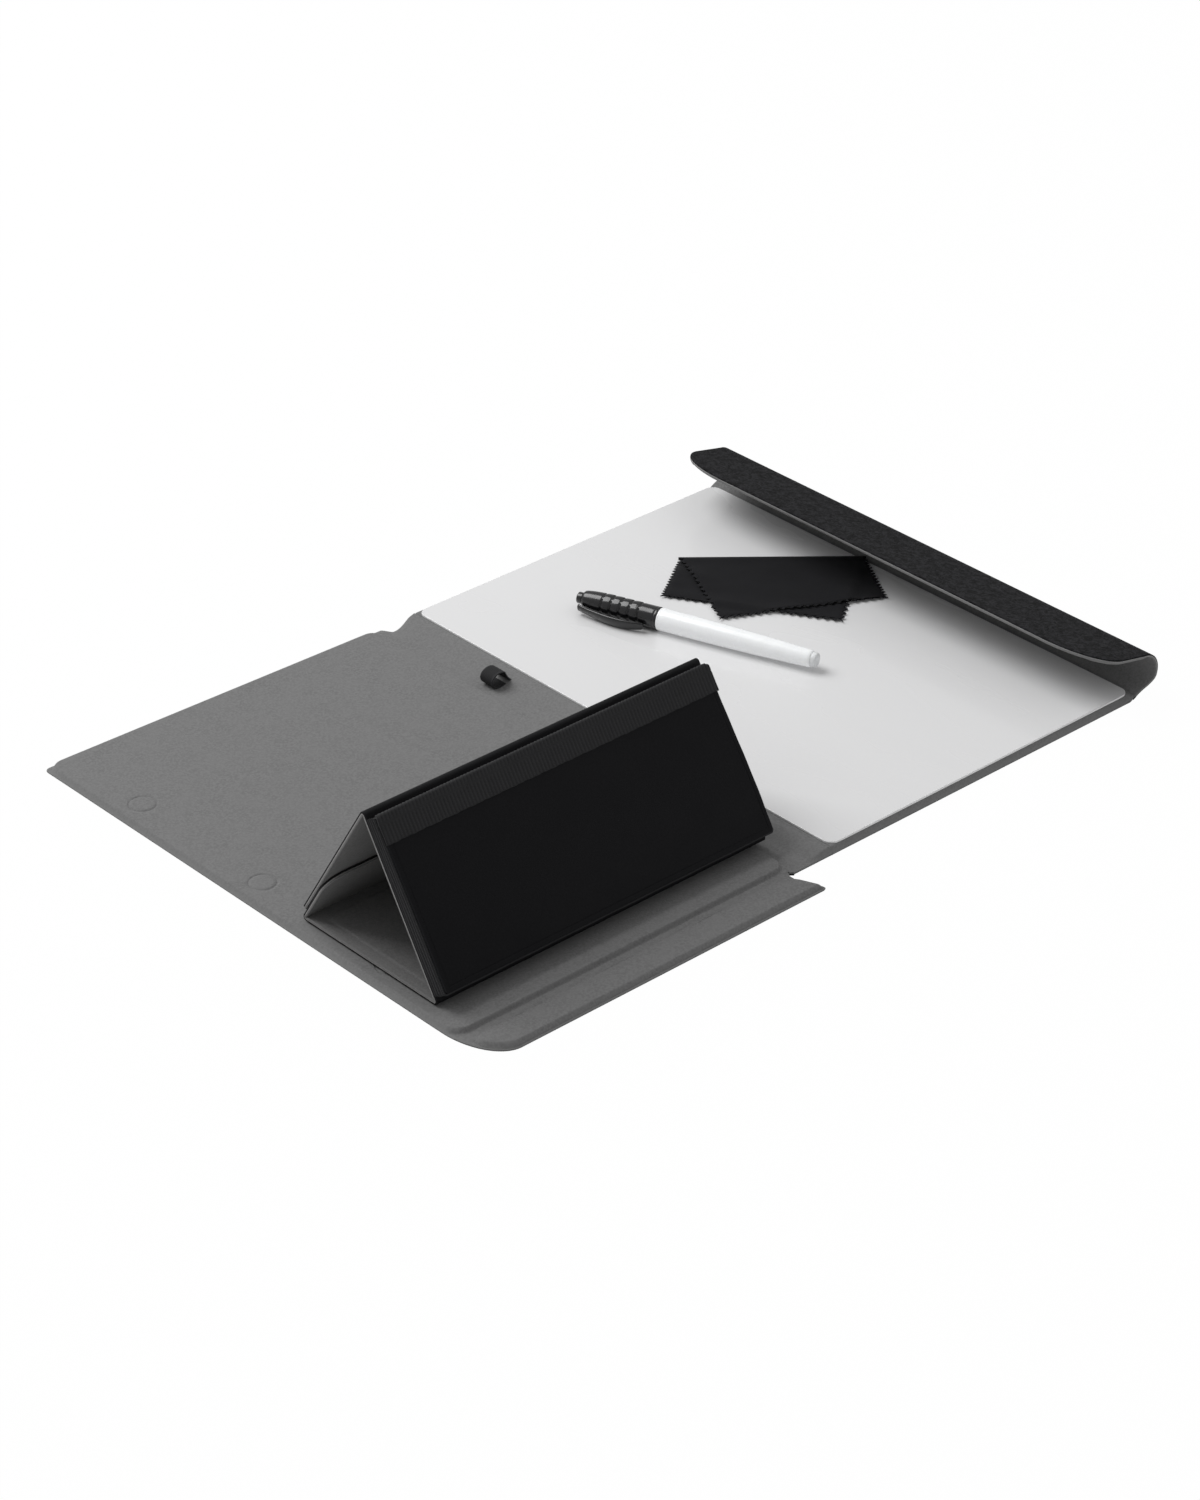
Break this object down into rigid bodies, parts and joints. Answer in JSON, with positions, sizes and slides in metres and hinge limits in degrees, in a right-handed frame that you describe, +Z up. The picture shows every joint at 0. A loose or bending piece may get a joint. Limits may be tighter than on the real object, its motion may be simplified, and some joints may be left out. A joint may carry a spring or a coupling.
{
  "type": "folding desktop whiteboard",
  "caption": "Folding desk folio with a dry-wipe sheet, fold-up triangular device stand with elastic pocket, curled magnetic flap, marker and wiping cloth.",
  "frame": {"origin": "underside of the spine, in its middle both ways, on the surface the folio lies on", "axes": "+X along the open folio from the stand panel to the closing flap, -Y towards the user, +Z up"},
  "size_m": [0.4518, 0.319, 0.0853],
  "materials": {
    "folio_cover": "mottled dark grey felt-faced fabric",
    "folio_lining": "mid grey short-napped microfibre lining",
    "core_board": "raw grey fibreboard",
    "writing_sheet": "white semi-gloss melamine sheet",
    "magnet": "nickel-plated magnet discs",
    "adhesive": "matt adhesive foam",
    "stand_cover": "smooth black leatherette",
    "stand_lining": "mid grey short-napped lining with pale cut edges",
    "pocket_face": "matt black leatherette",
    "elastic": "ribbed black elastic",
    "marker_white": "glossy white plastic",
    "marker_black": "glossy black plastic",
    "marker_clear": "milky white plastic",
    "marker_neck": "black plastic",
    "marker_felt": "ink-soaked felt",
    "cloth": "black pinked microfibre cloth"
  },
  "bodies": {
    "stand_panel": {"stand_panel_cover": "folio_cover", "stand_panel_board": "core_board", "stand_panel_liner": "folio_lining", "closure_magnets": "magnet", "stand_glue_pad": "adhesive", "stand_base_cover": "stand_cover", "stand_base_board": "core_board", "stand_base_lining": "stand_lining"},
    "lip": {"lip_cover": "folio_cover", "lip_board": "core_board", "lip_liner": "folio_lining"},
    "spine": {"spine_cover": "folio_cover", "spine_liner": "folio_lining", "pen_loop": "elastic"},
    "board_panel": {"board_panel_cover": "folio_cover", "board_panel_board": "core_board", "board_panel_liner": "folio_lining", "whiteboard_sheet": "writing_sheet"},
    "flap_strip_1": {"flap_strip_1_cover": "folio_cover", "flap_strip_1_liner": "folio_lining"},
    "flap_strip_2": {"flap_strip_2_cover": "folio_cover", "flap_strip_2_liner": "folio_lining"},
    "flap_strip_3": {"flap_strip_3_cover": "folio_cover", "flap_strip_3_liner": "folio_lining"},
    "flap": {"flap_cover": "folio_cover", "flap_board": "core_board", "flap_liner": "folio_lining", "flap_magnets": "magnet"},
    "stand_front": {"front_leg_cover": "stand_cover", "front_leg_board": "core_board", "front_leg_lining": "stand_lining", "pocket_gusset": "elastic", "pocket_face": "pocket_face", "pocket_band": "elastic"},
    "stand_back": {"back_leg_cover": "stand_cover", "back_leg_board": "core_board", "back_leg_lining": "stand_lining", "back_leg_magnets": "magnet"},
    "stand_tab": {"tab_cover": "stand_cover", "tab_board": "core_board", "tab_lining": "stand_lining", "tab_magnets": "magnet"},
    "marker": {"marker_barrel": "marker_white", "marker_end_plug": "marker_clear", "marker_nib": "marker_felt", "marker_nib_holder": "marker_neck", "marker_ink_core": "marker_felt"},
    "marker_cap": {"marker_cap": "marker_black"},
    "cloth": {"wiping_cloth": "cloth"}
  },
  "joints": [
    {"name": "lip_fold", "type": "hinge", "parent": "stand_panel", "child": "lip", "pos_m": [-0.103, -0.146, 0.0018], "axis": [-1, 0, 0], "range_deg": [0, 90]},
    {"name": "spine_fold", "type": "hinge", "parent": "stand_panel", "child": "spine", "pos_m": [-0.003, 0, 0.0018], "axis": [0, -1, 0], "range_deg": [0, 40]},
    {"name": "board_fold", "type": "hinge", "parent": "spine", "child": "board_panel", "pos_m": [0.009, 0, 0.0018], "axis": [0, -1, 0], "range_deg": [0, 40]},
    {"name": "flap_curl_1", "type": "hinge", "parent": "board_panel", "child": "flap_strip_1", "pos_m": [0.22515, 0, 0.00176], "axis": [0, -1, 0], "range_deg": [-41.9, 3.1]},
    {"name": "flap_curl_2", "type": "hinge", "parent": "flap_strip_1", "child": "flap_strip_2", "pos_m": [0.23558, 0, 0.00993], "axis": [0, -1, 0], "range_deg": [-41.9, 3.1]},
    {"name": "flap_curl_3", "type": "hinge", "parent": "flap_strip_2", "child": "flap_strip_3", "pos_m": [0.23643, 0, 0.01783], "axis": [0, -1, 0], "range_deg": [-41.9, 3.1]},
    {"name": "flap_curl_4", "type": "hinge", "parent": "flap_strip_3", "child": "flap", "pos_m": [0.2318, 0, 0.02427], "axis": [0, -1, 0], "range_deg": [-41.9, 3.1]},
    {"name": "stand_fold", "type": "hinge", "parent": "stand_panel", "child": "stand_front", "pos_m": [-0.103, -0.121, 0.0067], "axis": [-1, 0, 0], "range_deg": [0, 54.9]},
    {"name": "stand_back_fold", "type": "hinge", "parent": "stand_front", "child": "stand_back", "pos_m": [-0.103, -0.07594, 0.07995], "axis": [1, 0, 0], "range_deg": [0, 108]},
    {"name": "stand_tab_fold", "type": "hinge", "parent": "stand_panel", "child": "stand_tab", "pos_m": [-0.103, -0.03294, 0.0067], "axis": [1, 0, 0], "range_deg": [0, 56.6]},
    {"name": "marker_lift", "type": "slide", "parent": "board_panel", "child": "marker", "axis": [0, 0, 1], "range_m": [0, 0.1]},
    {"name": "cap_pull", "type": "slide", "parent": "marker", "child": "marker_cap", "axis": [-0.3303, 0.9439, 0], "range_m": [0, 0.055]},
    {"name": "cloth_wipe", "type": "slide", "parent": "board_panel", "child": "cloth", "axis": [0, -1, 0], "range_m": [0, 0.04]}
  ],
  "couplings": [
    {"joint": "board_fold", "follows": "spine_fold", "ratio": 1},
    {"joint": "flap_curl_2", "follows": "flap_curl_1", "ratio": 1},
    {"joint": "flap_curl_3", "follows": "flap_curl_1", "ratio": 1},
    {"joint": "flap_curl_4", "follows": "flap_curl_1", "ratio": 1},
    {"joint": "stand_back_fold", "follows": "stand_fold", "ratio": 1.964},
    {"joint": "stand_tab_fold", "follows": "stand_fold", "ratio": 1.029}
  ]
}
